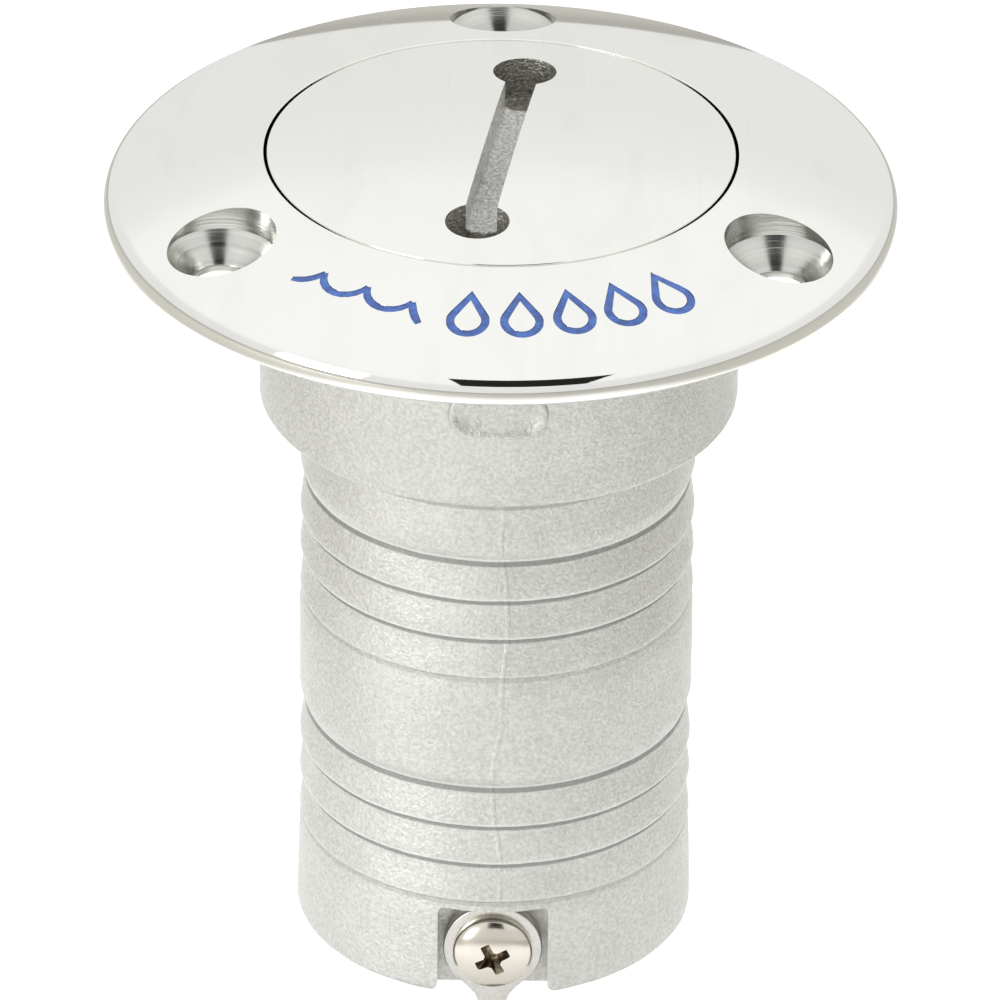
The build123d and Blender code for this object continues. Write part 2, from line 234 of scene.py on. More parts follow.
# ------------------------------------------------------------------ shader groups
def group(name, inputs, outputs):
    tree = bpy.data.node_groups.new(name, "ShaderNodeTree")
    for label, kind, value in inputs:
        socket = tree.interface.new_socket(label, in_out="INPUT", socket_type=kind)
        socket.default_value = value
    for label, kind in outputs:
        tree.interface.new_socket(label, in_out="OUTPUT", socket_type=kind)
    return tree


class Bench:
    """Lays out one node tree."""

    def __init__(self, tree):
        self.tree = tree

    def node(self, kind, /, **settings):
        made = self.tree.nodes.new("ShaderNode" + kind)
        for key, value in settings.items():
            if key.startswith("in_"):
                slot = key[3:].replace("_", " ")
                slot = int(slot) if slot.isdigit() else slot
                if isinstance(value, bpy.types.NodeSocket):
                    self.tree.links.new(value, made.inputs[slot])
                else:
                    made.inputs[slot].default_value = value
            else:
                setattr(made, key, value)
        return made

    def out(self, kind, output=0, **settings):
        return self.node(kind, **settings).outputs[output]

    def math(self, operation, a, b=0.0, c=0.0):
        return self.out("Math", operation=operation, in_0=a, in_1=b, in_2=c)

    def place(self):
        return self.out("TexCoord", "Object")

    def noise(self, vector, scale, detail=4.0, rough=0.55, warp=0.0):
        return self.out("TexNoise", "Fac", in_Vector=vector, in_Scale=scale, in_Detail=detail, in_Roughness=rough,
                        in_Distortion=warp)

    def ramp(self, value, low, high, floor=0.0, top=1.0):
        made = self.node("MapRange", interpolation_type="SMOOTHSTEP", in_Value=value)
        made.inputs["From Min"].default_value, made.inputs["From Max"].default_value = low, high
        made.inputs["To Min"].default_value, made.inputs["To Max"].default_value = floor, top
        return made.outputs["Result"]

    def stretch(self, vector, scale, turned=0.0):
        return self.out("Mapping", in_Vector=vector, in_Scale=scale, in_Rotation=(0, 0, turned))

    def tint(self, amount, dark, light):
        return self.out("Mix", 2, data_type="RGBA", in_0=amount, in_6=dark, in_7=light)


def group_bench(tree):
    inner = Bench(tree)
    start = tree.nodes.new("NodeGroupInput")
    end = tree.nodes.new("NodeGroupOutput")
    return inner, start.outputs, end.inputs, lambda value, slot: tree.links.new(value, slot)


def hairlines():
    """Fine polishing scratches in three directions: a mask, and a height."""
    tree = group("hairlines", [("Amount", "NodeSocketFloat", 1.0)],
                 [("Mask", "NodeSocketFloat"), ("Height", "NodeSocketFloat")])
    inner, given, results, link = group_bench(tree)
    place = inner.place()
    total = None
    for turned, scale in ((0.25, 26), (1.35, 19), (2.5, 23)):
        lines = inner.noise(inner.stretch(place, (scale * 90, scale * 1.6, scale), turned), 1.0, 2.0, 0.4, 0.15)
        thin = inner.ramp(lines, 0.69, 0.74)
        total = thin if total is None else inner.math("MAXIMUM", total, thin)
    patches = inner.ramp(inner.noise(place, 70, 2), 0.42, 0.68)
    mask = inner.math("MULTIPLY", inner.math("MULTIPLY", total, patches), given["Amount"])
    link(mask, results["Mask"])
    link(inner.math("MULTIPLY", mask, -1.0), results["Height"])
    return tree


def blasted_grain():
    """The pitted skin that bead blasting leaves on a casting, and the slow unevenness under it."""
    tree = group("blasted_grain", [("Fineness", "NodeSocketFloat", 1.0)],
                 [("Height", "NodeSocketFloat"), ("Tone", "NodeSocketFloat"), ("Sparkle", "NodeSocketFloat")])
    inner, given, results, link = group_bench(tree)
    place = inner.out("VectorMath", operation="SCALE", in_0=inner.place(), in_Scale=given["Fineness"])
    pits = inner.noise(place, 3300, 3, 0.6)
    coarse = inner.noise(place, 1300, 3, 0.6)
    slow = inner.noise(place, 120, 1, 0.5)
    height = inner.math("MULTIPLY_ADD", pits, 1.5, inner.math("MULTIPLY", coarse, 0.8))
    link(inner.math("MULTIPLY_ADD", slow, 0.5, height), results["Height"])
    patches = inner.math("MULTIPLY", inner.noise(place, 160, 2), 0.2)
    tone = inner.math("MULTIPLY_ADD", inner.noise(place, 2600, 2, 0.6), 0.8, patches)
    link(inner.ramp(tone, 0.32, 0.68), results["Tone"])
    link(inner.ramp(pits, 0.35, 0.68), results["Sparkle"])
    return tree


def tool_rings():
    """Turning marks: fine rings at each height of a bored or countersunk face."""
    tree = group("tool_rings", [("Pitch", "NodeSocketFloat", 5200.0)],
                 [("Height", "NodeSocketFloat"), ("Tone", "NodeSocketFloat")])
    inner, given, results, link = group_bench(tree)
    height_only = inner.out("VectorMath", operation="MULTIPLY", in_0=inner.place(), in_1=(0.012, 0.012, 1.0))
    fine = inner.noise(height_only, given["Pitch"], 3.0, 0.6)
    broad = inner.noise(height_only, 1300, 2, 0.5)
    link(inner.math("MULTIPLY_ADD", broad, 0.8, fine), results["Height"])
    link(inner.ramp(broad, 0.35, 0.65), results["Tone"])
    return tree


def handling():
    """Faint smears and dulling from hands and a cloth, in slow patches."""
    tree = group("handling", [("Amount", "NodeSocketFloat", 1.0)], [("Dulling", "NodeSocketFloat")])
    inner, given, results, link = group_bench(tree)
    place = inner.place()
    smears = inner.noise(inner.stretch(place, (140, 45, 90), 0.5), 1.0, 5, 0.62, 0.8)
    link(inner.math("MULTIPLY", inner.ramp(smears, 0.46, 0.72), given["Amount"]), results["Dulling"])
    return tree


HAIRLINES, GRAIN, RINGS, HANDLING = hairlines(), blasted_grain(), tool_rings(), handling()


def finish(name, metallic=1.0, **plain):
    """An empty metal finish with its bench, its shader and a way to place a group."""
    material = bpy.data.materials.new(name)
    material.use_nodes = True
    bench = Bench(material.node_tree)
    shader = material.node_tree.nodes["Principled BSDF"]
    shader.inputs["Metallic"].default_value = metallic
    for key, value in plain.items():
        shader.inputs[key.replace("_", " ")].default_value = value

    def use(tree, **values):
        placed_group = material.node_tree.nodes.new("ShaderNodeGroup")
        placed_group.node_tree = tree
        for key, value in values.items():
            placed_group.inputs[key].default_value = value
        return placed_group.outputs

    def feed(value, socket):
        material.node_tree.links.new(value, shader.inputs[socket])

    def bump(height, distance, strength=1.0, under=None):
        settings = {"in_Normal": under} if under else {}
        return bench.out("Bump", in_Height=height, in_Distance=distance, in_Strength=strength, **settings)

    return material, bench, use, feed, bump


def polished(name, colour, shine=0.035):
    material, bench, use, feed, bump = finish(name)
    lines, dull = use(HAIRLINES, Amount=1.0), use(HANDLING, Amount=1.0)
    soft = bench.math("MULTIPLY_ADD", dull["Dulling"], 0.03, shine)
    feed(bench.math("MULTIPLY_ADD", lines["Mask"], 0.16, soft), "Roughness")
    dark = tuple(c * 0.965 for c in colour) + (1,)
    feed(bench.tint(bench.math("MAXIMUM", lines["Mask"], dull["Dulling"]), colour + (1,), dark), "Base Color")
    waves = bench.noise(bench.place(), 45, 1, 0.4)
    feed(bump(lines["Height"], 0.0000012, 0.5, bump(waves, 0.00004, 0.35)), "Normal")
    return material


def blasted(name, colour, roughness, depth, seam=False, fineness=1.0, contrast=0.1):
    material, bench, use, feed, bump = finish(name)
    grain = use(GRAIN, Fineness=fineness)
    light = tuple(min(1, c * (1 + contrast)) for c in colour) + (1,)
    dark = tuple(c * (1 - 1.2 * contrast) for c in colour) + (1,)
    tone = bench.tint(grain["Tone"], dark, light)
    feed(bench.math("MULTIPLY_ADD", grain["Sparkle"], -0.16, roughness + 0.08), "Roughness")
    under = None
    if seam:
        # The mould's parting line: a thin, slightly wandering ridge down the front and the back.
        axes = bench.node("SeparateXYZ", in_Vector=bench.place()).outputs
        drift = bench.out("VectorMath", operation="MULTIPLY", in_0=bench.place(), in_1=(0, 0, 1))
        wander = bench.math("MULTIPLY", bench.math("SUBTRACT", bench.noise(drift, 46, 2, 0.4), 0.49), 0.0052)
        off = bench.math("ABSOLUTE", bench.math("SUBTRACT", bench.math("SUBTRACT", axes["X"], 0.0006), wander))
        ridge = bench.ramp(off, 0.00007, 0.0003, 1.0, 0.0)
        patchy = bench.ramp(bench.noise(drift, 210, 2), 0.3, 0.6, 0.25, 1.0)
        below = bench.ramp(axes["Z"], -0.0205, -0.019, 1.0, 0.0)
        under = bump(bench.math("MULTIPLY", bench.math("MULTIPLY", ridge, patchy), below), 0.0001, 0.8)
        # Painted shade and painted highlight: a dark band is painted into the corner under each tooth, where shade
        # falls, and a light band on the edge above it.
        crease_shade_colour = tuple(c * 0.42 for c in colour) + (1,)
        edges = [((COLLAR_FOOT - top - tooth * BARB_PITCH) * 0.001, 0.85 if tooth < 3 else 0.3)
                 for top in BARB_TOPS for tooth in range(4)]
        # The extra height -0.0216 paints a band of shade just under the collar's overhang, with a light band
        # painted above it.
        for edge, strength in edges + [(-0.0216, 0.5)]:
            height = bench.math("SUBTRACT", axes["Z"], edge)

            def band(start, full, fading, end):
                risen, fallen = bench.ramp(height, start, full), bench.ramp(height, fading, end, 1.0, 0.0)
                return bench.math("MULTIPLY", risen, fallen)

            # painted shade in the corner under the edge
            painted_crease_shade = band(-0.00062, -0.00042, 0.00002, 0.00008)
            tone = bench.tint(bench.math("MULTIPLY", painted_crease_shade, strength), tone, crease_shade_colour)
            # painted highlight on the edge above it
            painted_edge_highlight = band(0.00006, 0.00014, 0.00025, 0.0005)
            tone = bench.tint(bench.math("MULTIPLY", painted_edge_highlight, 0.6 * strength), tone, (0.86, 0.86, 0.84, 1))
    feed(tone, "Base Color")
    feed(bump(grain["Height"], depth, 0.75, under), "Normal")
    return material


def turned_metal(name, colour, roughness, depth, pitch=5200.0):
    material, bench, use, feed, bump = finish(name)
    rings = use(RINGS, Pitch=pitch)
    light, dark = colour + (1,), tuple(c * 0.8 for c in colour) + (1,)
    feed(bench.tint(rings["Tone"], dark, light), "Base Color")
    feed(bench.math("MULTIPLY_ADD", rings["Tone"], 0.08, roughness), "Roughness")
    feed(bump(rings["Height"], depth, 0.7), "Normal")
    return material


def sheet_metal(name, colour, roughness):
    material, bench, use, feed, bump = finish(name)
    lines, grain = use(HAIRLINES, Amount=1.0), use(GRAIN, Fineness=1.6)
    feed(bench.tint(grain["Tone"], tuple(c * 0.86 for c in colour) + (1,), colour + (1,)), "Base Color")
    feed(bench.math("MULTIPLY_ADD", lines["Mask"], 0.2, roughness), "Roughness")
    feed(bump(grain["Height"], 0.000008, 0.5, bump(lines["Height"], 0.000004, 0.6)), "Normal")
    return material


def enamel():
    material, bench, use, feed, bump = finish("blue_enamel", metallic=0.0, Coat_Weight=0.5, Coat_Roughness=0.08)
    flow = bench.noise(bench.place(), 900, 3, 0.55)
    feed(bench.tint(bench.ramp(flow, 0.35, 0.68), (0.016, 0.055, 0.23, 1), (0.035, 0.115, 0.40, 1)), "Base Color")
    feed(bench.math("MULTIPLY_ADD", flow, 0.2, 0.22), "Roughness")
    feed(bump(flow, 0.00004, 0.5), "Normal")
    return material


def rubber():
    material, bench, use, feed, bump = finish("seal_rubber", metallic=0.0)
    grain = use(GRAIN, Fineness=0.9)
    feed(bench.tint(grain["Tone"], (0.012, 0.012, 0.013, 1), (0.03, 0.03, 0.031, 1)), "Base Color")
    feed(bench.math("MULTIPLY_ADD", grain["Sparkle"], 0.2, 0.5), "Roughness")
    feed(bump(grain["Height"], 0.00001, 0.5), "Normal")
    return material


POLISHED_FLANGE = polished("polished_flange", (0.93, 0.932, 0.905))
POLISHED_CAP = polished("polished_cap", (0.93, 0.932, 0.905), 0.03)
BLASTED_CASTING = blasted("blasted_casting", (0.63, 0.632, 0.606), 0.47, 0.0001, seam=True)
BLASTED_INSIDE = blasted("blasted_inside", (0.56, 0.555, 0.53), 0.5, 0.00004, fineness=0.8)
ROUGH_CAST = blasted("rough_cast_slot", (0.78, 0.775, 0.755), 0.5, 0.00035, fineness=0.9, contrast=0.26)
COUNTERSUNK = turned_metal("countersunk_face", (0.70, 0.70, 0.67), 0.17, 0.000035)
BORED = blasted("bored_key_hole", (0.50, 0.49, 0.445), 0.42, 0.0002, fineness=0.9, contrast=0.3)
THREAD_METAL = turned_metal("cut_thread", (0.66, 0.655, 0.63), 0.26, 0.000015)
SHEET = sheet_metal("stamped_sheet", (0.66, 0.645, 0.61), 0.3)
SCREW_METAL = polished("screw_metal", (0.74, 0.70, 0.62), 0.17)
# painted shade for the inside of the screws' cross recesses
POCKET_PAINTED_SHADE = turned_metal("screw_pocket_painted_shade", (0.34, 0.29, 0.215), 0.25, 0.00004, 3000.0)
CHAIN_METAL = polished("chain_metal", (0.77, 0.755, 0.715), 0.12)
ENAMEL, RUBBER = enamel(), rubber()


# ------------------------------------------------------------------ the chain
CHAIN_ROUTE = [
    (0.0, 7.575, -8.4828), (0.0, 7.575, -20.5), (0.5, 7.0, -38.5), (0.3, 6.6, -61.6), (0.0, 7.4, -81.6),
    (0.0, 6.6, -91.9), (0.0, 2.1, -98.3), (0.0, -5.2, -100.6), (0.0, -12.7, -97.9), (0.0, -17.2, -91.5),
    (0.0, -17.2, -84.2),
]


def chain_line():
    """The line that the chain hangs on, read from one smooth curve through its route."""
    curve = bpy.data.curves.new("chain_route", "CURVE")
    curve.dimensions = "3D"
    spline = curve.splines.new("NURBS")
    spline.points.add(len(CHAIN_ROUTE) - 1)
    for point, place in zip(spline.points, CHAIN_ROUTE):
        point.co = (*place, 1)
    spline.order_u = 3
    spline.use_endpoint_u = True
    spline.resolution_u = 24
    holder = bpy.data.objects.new("chain_route", curve)
    scene.collection.objects.link(holder)
    bpy.context.view_layer.update()
    mesh = bpy.data.meshes.new_from_object(holder)
    line = [v.co.copy() for v in mesh.vertices]
    bpy.data.meshes.remove(mesh)
    bpy.data.objects.remove(holder)
    bpy.data.curves.remove(curve)
    return line


def along(line, distance):
    """The point and direction at a distance along the line."""
    for a, b in zip(line, line[1:]):
        step = (b - a).length
        if distance <= step:
            return a.lerp(b, distance / step), (b - a).normalized()
        distance -= step
    return line[-1].copy(), (line[-1] - line[-2]).normalized()


def bead():
    """One rolled bead with the eyes that its links go through."""
    ball = [(1.6 * sin(a), 1.6 * cos(a)) for a in (radians(d) for d in range(24, 157, 12))]
    return turn([(0.42, 1.25)] + [(0.5, 1.4)] + ball + [(0.5, -1.4), (0.42, -1.25)], steps=20)


def bead_chain():
    line = chain_line()
    length = sum((b - a).length for a, b in zip(line, line[1:]))
    count = round((length - 0.6) / 4.05)
    gap = (length - 0.6) / count
    shapes = []
    for number in range(count + 1):
        point, way = along(line, 0.3 + number * gap)
        facing = way.to_track_quat("Z", "Y").to_matrix().to_4x4()
        shapes.append(placed(bead(), Matrix.Translation(point), facing))
        if number < count:
            after, _ = along(line, 0.3 + (number + 1) * gap)
            link = turn([(0, -gap / 2), (0.44, -gap / 2), (0.4, 0), (0.44, gap / 2), (0, gap / 2)], steps=10)
            across = (after - point).normalized().to_track_quat("Z", "Y").to_matrix().to_4x4()
            shapes.append(placed(link, Matrix.Translation(point.lerp(after, 0.5)), across))
    piece = held(joined(*shapes), "bead_chain")
    mesh = piece.data
    mesh.materials.append(CHAIN_METAL)
    mesh.shade_smooth()
    mesh.set_sharp_from_angle(angle=radians(50))
    mesh.transform(Matrix.Scale(0.001, 4))
    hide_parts("retaining_chain")
    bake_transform(piece)
    return piece


bead_chain()


# ------------------------------------------------------------------ the fill body
def neck_outline():
    """The neck from the collar down: two groups of teeth, each stepping in under its edge and growing out again."""
    corners = []
    for top in BARB_TOPS:
        edge = COLLAR_FOOT - top
        corners += [(NECK_R, edge + 1.15, 0.6), (NECK_R - BARB_DEPTH, edge, 0.14)]
        for tooth in (1, 2):
            step = edge - tooth * BARB_PITCH
            corners += [(NECK_R, step + 0.12, 0.16), (NECK_R - BARB_DEPTH, step, 0.16)]
        last = edge - 3 * BARB_PITCH
        corners += [(NECK_R, last + 0.1, 0.12), (NECK_R - 0.16, last - 0.05, 0.08), (NECK_R, last - 1.6, 0.4)]
    return corners


def uneven(bm, low, amount):
    """The slight unevenness of a sand casting, on everything below a height and outside the bore."""
    for vert in bm.verts:
        if vert.co.z < low and hypot(vert.co.x, vert.co.y) > 17:
            out = Vector((vert.co.x, vert.co.y, 0)).normalized()
            fine = noise.noise(vert.co * 0.35) + 0.6 * noise.noise(vert.co * 0.9 + Vector((7, 3, 1)))
            vert.co += out * (amount * fine - amount)
            vert.co.z += amount * 0.8 * noise.noise(vert.co * 0.5 + Vector((2, 9, 4)))


def countersink():
    mouth = crown(SCREW_CIRCLE + 5.15) - 0.05
    return turn([(0, -1), (2.6, -1), (2.6, mouth - 2.55, 0.1), (5.15, mouth), (5.2, 9), (0, 9)], steps=96)


def notch():
    """The recess for the chain's ring, its mouth rounded where it opens at the foot."""
    bm = bmesh.new()
    mouth = NECK_FOOT + 0.04
    outline = [(-8, -79), (-8, mouth), (-NOTCH_HALF, mouth, 1.2), (-NOTCH_HALF, NOTCH_ROOF, 0.7),
               (NOTCH_HALF, NOTCH_ROOF, 0.7), (NOTCH_HALF, mouth, 1.2), (8, mouth), (8, -79)]
    verts = [bm.verts.new((c[0], -21.5, c[1])) for c in outline]
    bm.faces.new(verts)
    for vert, corner in zip(verts, outline):
        if len(corner) > 2:
            round_corner(bm, vert, corner[2], 5)
    for vert in thickened(bm, (0, 21.5 + NOTCH_BACK, 0)):
        if vert.co.z > -70:
            vert.co.z += 1.2
    bmesh.ops.recalc_face_normals(bm, faces=bm.faces)
    return bm


def lug_boss():
    """The thickening inside the bore that the lug's screw goes into."""
    bm = block((12.4, 5.0, 10.6), (0, -14.65, NECK_FOOT + 5.3))
    for vert in bm.verts:
        if vert.co.z > -70 and vert.co.y < -15:
            vert.co.z += 4
    edges = [e for e in bm.edges if max(v.co.y for v in e.verts) > -13 and max(v.co.z for v in e.verts) > -70]
    round_edges(bm, edges, 1.0, 4)
    return bm


def on_crown(bm, top, bottom):
    """Lays a flat shape's upper and lower points on or under the flange's face."""
    for vert in bm.verts:
        radius, below = hypot(vert.co.x, vert.co.y), top if vert.co.z > 0 else bottom
        vert.co.z = crown(radius, below) if below > -0.5 else crown(radius) - below
    bmesh.ops.recalc_face_normals(bm, faces=bm.faces)
    return bm


def ribbon(outer, inner=None):
    """A flat closed shape from its outline, as a slab: between two loops, or filled."""
    bm = bmesh.new()
    loops = []
    for outline in filter(None, (outer, inner)):
        verts = [bm.verts.new((x, y, -1)) for x, y in outline]
        loops.append([bm.edges.new(pair) for pair in zip(verts, verts[1:] + verts[:1])])
    if inner:
        bmesh.ops.bridge_loops(bm, edges=loops[0] + loops[1])
    else:
        bm.faces.new([e.verts[0] for e in loops[0]])
    thickened(bm, (0, 0, 2))
    return bm


def drop_outline(grow):
    """A water drop with its point towards the cap, grown outwards."""
    radius, tip = 1.65 + grow, 3.35 + 1.6 * grow
    lean = asin(radius / tip)
    round_part = [(radius * cos(a), radius * sin(a)) for a in
                  (lean - (pi + 2 * lean) * k / 28 for k in range(29))]
    side_x, side_y = radius * cos(lean), radius * sin(lean)
    left = [(-side_x * (1 - k / 6), side_y + (tip - side_y) * k / 6) for k in range(1, 6)]
    right = [(-x, y) for x, y in reversed(left)]
    return round_part + left + [(0, tip)] + right


def drop_marks(shrink, top, bottom):
    shapes = []
    for angle in (-5.6, 4.0, 13.5, 23.0, 32.6):
        shape = ribbon(drop_outline(0.4 - shrink), drop_outline(-0.4 + shrink))
        placed(shape, swing(angle, "Z"), shift(0, -MARK_CIRCLE - 0.85, 0))
        shapes.append(on_crown(shape, top, bottom))
    return shapes


WAVE = [(-40.9, -0.4), (-38.3, 0.2), (-36.2, 1.7), (-31.4, -0.25), (-26.3, 1.6), (-21.3, -0.65), (-16.5, 0.8),
        (-15.6, -0.5), (-14.0, -1.8)]


def arc_through(a, b, c, count=10):
    """Points on the circle that goes through three points."""
    turned = 2 * (a.x * (b.y - c.y) + b.x * (c.y - a.y) + c.x * (a.y - b.y))
    squares = [p.length_squared for p in (a, b, c)]
    centre = Vector((squares[0] * (b.y - c.y) + squares[1] * (c.y - a.y) + squares[2] * (a.y - b.y),
                     squares[0] * (c.x - b.x) + squares[1] * (a.x - c.x) + squares[2] * (b.x - a.x))) / turned
    start, end = a - centre, c - centre
    side = 1 if (b - a).x * (c - a).y - (b - a).y * (c - a).x > 0 else -1
    sweep = (atan2(end.y, end.x) - atan2(start.y, start.x)) * side % (2 * pi) * side
    return [centre + Matrix.Rotation(sweep * k / count, 2) @ start for k in range(count + 1)]


def wave_mark(shrink, top, bottom):
    """A plain wave that follows the flange, its crests pointing at the cap, one stroke wide."""
    places = [Vector(((MARK_CIRCLE - h) * sin(radians(a)), -(MARK_CIRCLE - h) * cos(radians(a)))) for a, h in WAVE]
    strokes = []
    for first in range(0, 8, 2):
        line = arc_through(*places[first:first + 3])
        half = [0.4 - shrink - 0.1 * abs(k / 5 - 1) ** 3 for k in range(11)]
        sides = [Vector((-w.y, w.x)).normalized() for w in
                 (line[min(k + 1, 10)] - line[max(k - 1, 0)] for k in range(11))]
        left = [tuple(p + n * h) for p, n, h in zip(line, sides, half)]
        right = [tuple(p - n * h) for p, n, h in zip(line, sides, half)]
        strokes.append(on_crown(ribbon(left + right[::-1]), top, bottom))
    whole = held(strokes[0], "wave")
    machined(whole, strokes[1:], "UNION")
    shape = bmesh.new()
    shape.from_mesh(whole.data)
    bpy.data.objects.remove(whole)
    return [shape]


def screw_thread(wall, crest, low, reach, steps=72):
    """A helical ridge that stands on a round wall, as a closed shape."""
    bm = bmesh.new()
    section = [(wall - reach, -0.625), (crest, -0.225), (crest, 0.225), (wall - reach, 0.625)]
    verts = [bm.verts.new((r, 0, low + z)) for r, z in section]
    edges = [bm.edges.new(pair) for pair in zip(verts, verts[1:] + verts[:1])]
    steps *= TURNS
    bmesh.ops.spin(bm, geom=verts + edges, cent=(0, 0, 0), axis=(0, 0, 1), dvec=(0, 0, PITCH * TURNS / steps),
                   angle=2 * pi * TURNS, steps=steps)
    bmesh.ops.holes_fill(bm, edges=[e for e in bm.edges if e.is_boundary], sides=4)
    bmesh.ops.recalc_face_normals(bm, faces=bm.faces)
    return bm


def add_thread(piece, thread):
    """Sets a thread's ridge on a piece, as a closed shape of its own."""
    whole = joined(thread)
    whole.from_mesh(piece.data)
    whole.to_mesh(piece.data)
    whole.free()


def fill_casting():
    face = [(r, crown(r)) for r in (23.1 + 0.86 * k for k in range(17))]
    outline = [(RECESS_R, FLANGE_TOP, 0.14), *face, (FLANGE_R, RIM_HEIGHT, 1.36), (FLANGE_R, 0.35, 0.12),
               (FLANGE_R - 0.35, 0, 0.12), (COLLAR_R, 0, 0.5), (COLLAR_R, COLLAR_FOOT, 0.5),
               (NECK_R, COLLAR_FOOT, 1.1), *neck_outline(), (FOOT_R, NECK_FOOT, 0.75), (BORE_R, NECK_FOOT, 0.4),
               (BORE_R, -14.88, 0.8), (FEMALE_WALL, -10.08, 0.4), (FEMALE_WALL, SEAT_Z - 0.35),
               (FEMALE_WALL + 0.35, SEAT_Z), (RECESS_R, SEAT_Z, 0.2)]
    shape = turn(outline, steps=256, low=COLLAR_TOP)
    uneven(shape, COLLAR_TOP, 0.045)
    casting = held(shape, "fill_casting")
    machined(casting, [lug_boss()], "UNION")
    holes = [placed(countersink(), swing(120 * k + 90, "Z"), shift(SCREW_CIRCLE, 0, 0)) for k in range(3)]
    screw_hole = turn([(0, 10), (2.0, 10), (2.0, 22), (0, 22)], steps=32)
    placed(screw_hole, shift(0, 0, LUG_Z), swing(90, "X"))
    machined(casting, holes + [notch(), screw_hole])
    machined(casting, [joined(*drop_marks(0, -1.0, 0.4), *wave_mark(0, -1.0, 0.4))])
    add_thread(casting, screw_thread(FEMALE_WALL, FEMALE_CREST, THREAD_START - 1, -0.15))

    def zone(centre, normal):
        radius = hypot(centre.x, centre.y)
        screws = [hypot(centre.x - SCREW_CIRCLE * cos(a), centre.y - SCREW_CIRCLE * sin(a)) for a in
                  (radians(90), radians(210), radians(330))]
        if min(screws) < 5.22 and centre.z < crown(radius) - 0.03:
            return COUNTERSUNK
        if radius > RECESS_R - 0.01 and centre.z > 0.3:
            return POLISHED_FLANGE
        if radius < 18.8 and centre.z > -11:
            return THREAD_METAL
        if radius < 17.5:
            return BLASTED_INSIDE
        return BLASTED_CASTING if centre.z < 0.3 else THREAD_METAL

    finishes = [BLASTED_CASTING, POLISHED_FLANGE, COUNTERSUNK, THREAD_METAL, BLASTED_INSIDE]
    finished(casting, "body", None, "cast_stainless", "fill_body", crease=32, zones=(finishes, zone),
             balls=[(CROWN_CENTRE, CROWN_R)])


def raised_pad():
    """The plain raised pad on the front of the collar, its edges rounded as cast."""
    bm = bmesh.new()
    ends = [(2.3, pi * k / 15) for k in range(16)] + [(-2.3, pi + pi * k / 15) for k in range(16)]
    outline = [(middle + 2.5 * sin(angle), 2.5 * cos(angle)) for middle, angle in ends]
    bm.faces.new([bm.verts.new((x, 0, z)) for x, z in outline])
    thickened(bm, (0, -1, 0))
    bmesh.ops.recalc_face_normals(bm, faces=bm.faces)
    face = [f for f in bm.faces if f.normal.y < -0.9]
    for thickness in (0.12, 0.12, 0.25, 0.2):
        bmesh.ops.inset_region(bm, faces=face, thickness=thickness, depth=0, use_even_offset=True)
    bmesh.ops.triangulate(bm, faces=[f for f in bm.faces if len(f.verts) > 4])
    rings = {}
    for vert in bm.verts:
        depth = 2.5 - hypot(max(abs(vert.co.x) - 2.3, 0), vert.co.z) if vert.co.y < -0.5 else -1
        rise = 0 if depth < 0.02 else 0.28 if depth < 0.14 else 0.35 if depth < 0.55 else 0.1
        base = COLLAR_R - 0.9 if vert.co.y > -0.5 else COLLAR_R - 0.06 + rise
        rings[vert] = (vert.co.x, -sqrt(base**2 - vert.co.x**2), vert.co.z - 9.6)
    for vert, place in rings.items():
        vert.co = place
    finished(held(bm, "collar_pad"), "body", BLASTED_CASTING, "cast_stainless", crease=60)


fill_casting()
raised_pad()
for name, marks, node in (("drop_marks", drop_marks, "drop_enamel"), ("wave_mark", wave_mark, "wave_enamel")):
    fill = held(joined(*marks(0.03, 0.07, 0.38)), name)
    finished(fill, "body", ENAMEL, "blue_enamel", node, crease=60)


